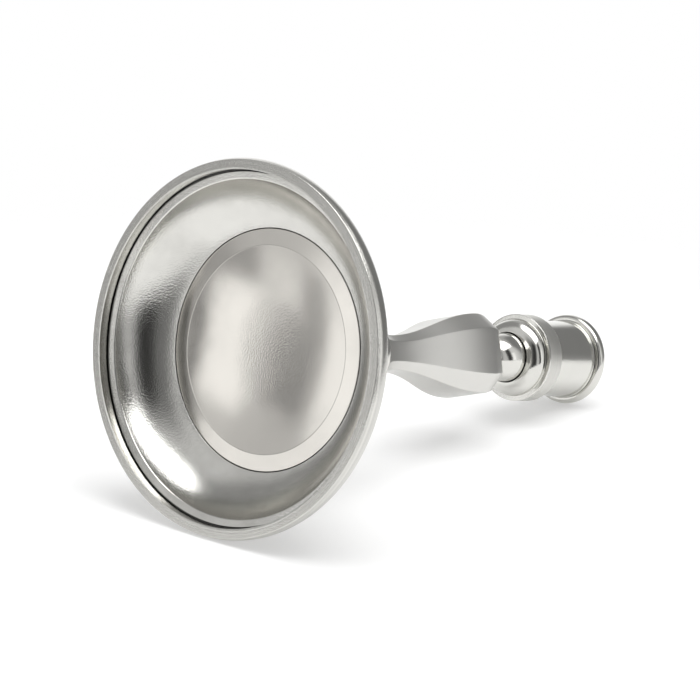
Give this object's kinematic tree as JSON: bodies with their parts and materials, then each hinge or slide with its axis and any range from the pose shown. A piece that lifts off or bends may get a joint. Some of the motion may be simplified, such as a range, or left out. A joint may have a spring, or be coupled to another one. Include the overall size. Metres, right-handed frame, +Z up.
{
  "type": "candlestick",
  "caption": "Pewter candlestick with a round domed base, square baluster stem with canted corners, ball and cup knops and a straight socket for a taper candle.",
  "frame": {"origin": "centre of the flat foot ring, on the table", "axes": "+Z up the stem, +X and +Y out of two neighbouring wide faces of the stem"},
  "size_m": [0.1172, 0.1172, 0.18],
  "materials": {
    "polished_pewter": "polished pewter with fine turning marks",
    "satin_pewter": "satin cast pewter",
    "frosted_pewter": "fine hammered and blasted pewter",
    "steel": "plain zinc-coated steel"
  },
  "bodies": {
    "root": {"base_shell": "polished_pewter", "flared_neck": "polished_pewter", "closing_disc": "frosted_pewter", "foot_knop": "polished_pewter", "baluster_stem": "satin_pewter", "ball_knop": "polished_pewter", "cup_knop": "polished_pewter", "candle_socket": "polished_pewter", "tie_rod": "steel", "rod_washer": "steel", "rod_nut": "steel"}
  },
  "joints": []
}
